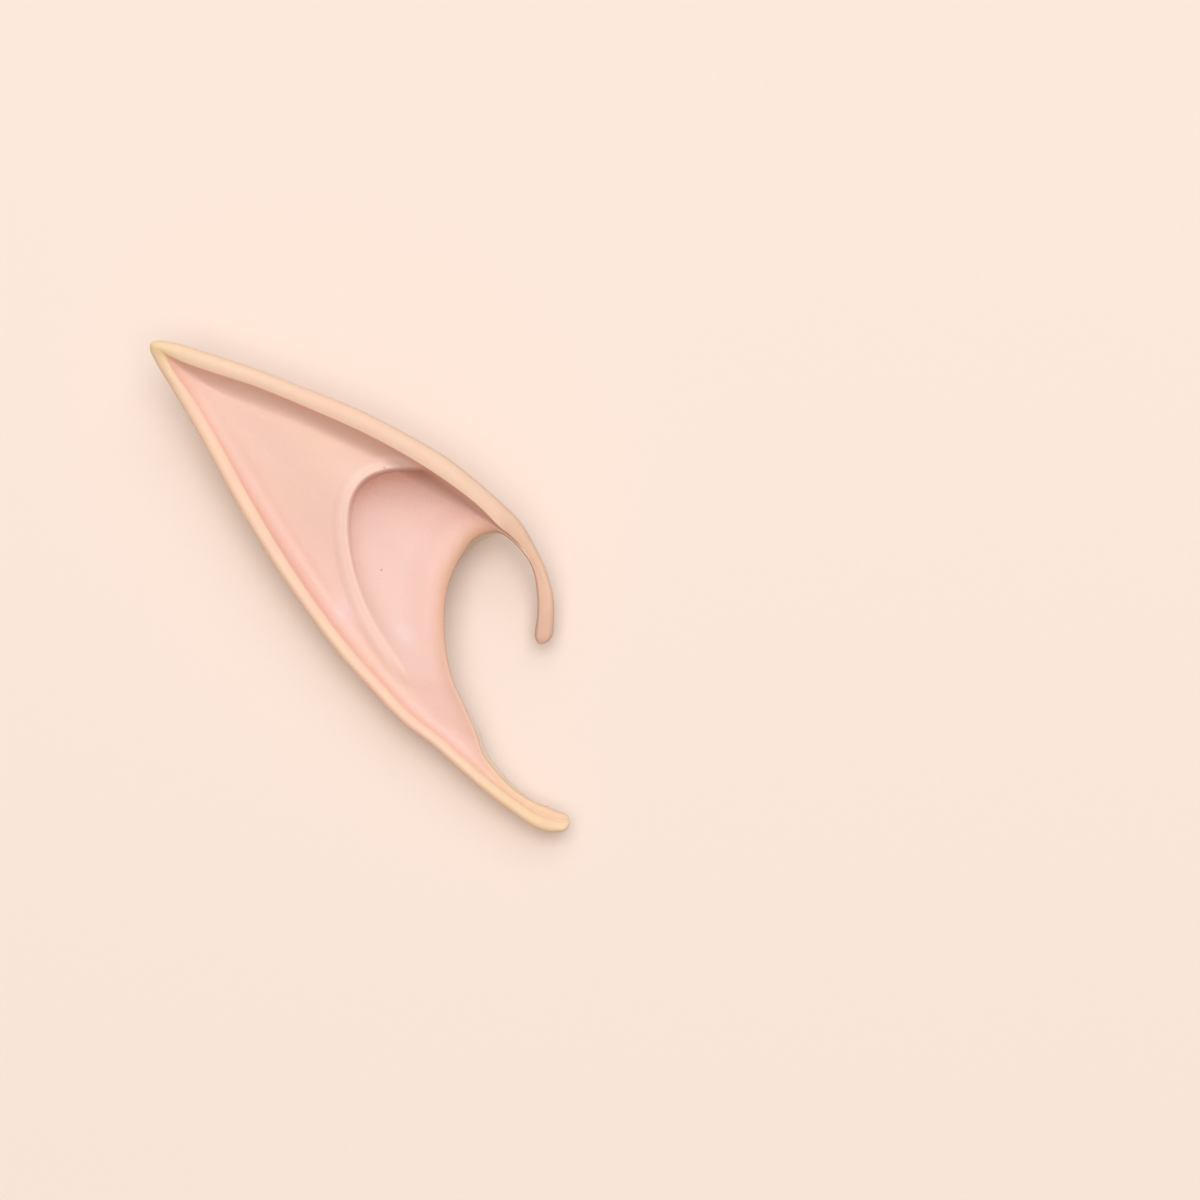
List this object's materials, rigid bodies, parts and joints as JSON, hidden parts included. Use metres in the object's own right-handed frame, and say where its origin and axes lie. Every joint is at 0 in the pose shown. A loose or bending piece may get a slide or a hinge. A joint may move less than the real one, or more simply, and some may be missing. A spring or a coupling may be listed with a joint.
{
  "type": "elf ear tip",
  "caption": "Pointed hollow latex ear that slips over the top of a real ear, with a hook that goes over its root and a tail behind the lobe.",
  "frame": {"origin": "bottom centre of the ear's box, on the surface that its back rests on", "axes": "+Y up when the ear is worn and up in the picture, -X towards the pointed tip's side, +Z out of the ear's front"},
  "size_m": [0.075, 0.089, 0.0175],
  "materials": {
    "latex": "matt soft latex, pink inside with a cream rim"
  },
  "bodies": {
    "root": {"ear_shell": "latex"}
  },
  "joints": []
}
